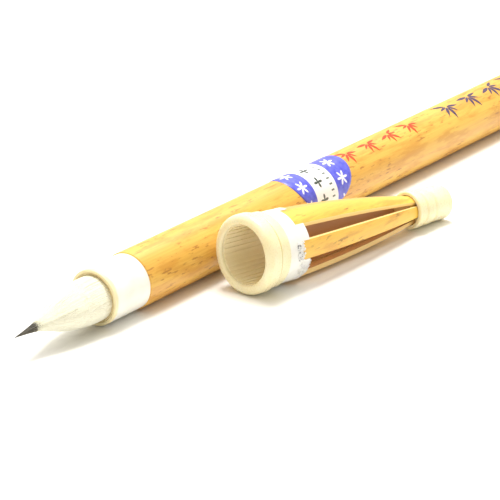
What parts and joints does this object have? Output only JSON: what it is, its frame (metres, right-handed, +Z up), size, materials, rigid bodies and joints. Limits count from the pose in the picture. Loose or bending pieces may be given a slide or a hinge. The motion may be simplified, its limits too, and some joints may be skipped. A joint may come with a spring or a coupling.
{
  "type": "calligraphy brush",
  "caption": "Bamboo-handled calligraphy brush lying on its side, with a pale tuft that has a dark point, and its slatted bamboo cap lying open-mouthed beside it.",
  "frame": {"origin": "on the table under the middle of the brush and its cap", "axes": "+X along the brush from the hair's point to the tail; +Z up, off the table; the cap lies on the -Y side"},
  "size_m": [0.2458, 0.039, 0.0194],
  "materials": {
    "bamboo": "gloss",
    "slat_bamboo": "satin",
    "plug_wood": "satin",
    "white_plastic": "satin",
    "cream_plastic": "gloss",
    "tan_plastic": "satin",
    "label_paper": "gloss",
    "cover_hair": "satin",
    "core_hair": "satin",
    "thread": "matte",
    "resin": "gloss"
  },
  "bodies": {
    "brush": {"handle_tube": "bamboo", "handle_tail_plug": "plug_wood", "ferrule": "white_plastic", "hair_root_resin": "resin", "hair_root_binding": "thread", "cover_hairs_root": "cover_hair", "core_hairs_root": "core_hair", "price_label": "label_paper"},
    "tuft_belly": {"cover_hairs_belly": "cover_hair", "core_hairs_belly": "core_hair"},
    "tuft_tip": {"cover_hairs_tip": "cover_hair", "core_hairs_tip": "core_hair"},
    "cap": {"cap_mouth_ring": "cream_plastic", "cap_inner_sleeve": "tan_plastic", "slat_collar": "white_plastic", "cap_slat_1": "slat_bamboo", "cap_slat_2": "slat_bamboo", "cap_slat_3": "slat_bamboo", "cap_slat_4": "slat_bamboo", "cap_slat_5": "slat_bamboo", "cap_slat_6": "slat_bamboo", "cap_tail_knob": "cream_plastic", "cap_slat_wedge": "plug_wood"}
  },
  "joints": [
    {"name": "belly_bend", "type": "hinge", "parent": "brush", "child": "tuft_belly", "pos_m": [-0.0982, 0.01244, 0.007], "axis": [0, 0, 1], "range_deg": [-25, 25], "stiffness_Nm_per_rad": 0.005},
    {"name": "tip_bend", "type": "hinge", "parent": "tuft_belly", "child": "tuft_tip", "pos_m": [-0.109, 0.01244, 0.007], "axis": [0, 0, 1], "range_deg": [-25, 25], "stiffness_Nm_per_rad": 0.002},
    {"name": "cap_lift", "type": "slide", "parent": "brush", "child": "cap", "axis": [0, 0, 1], "range_m": [0, 0.05]}
  ]
}
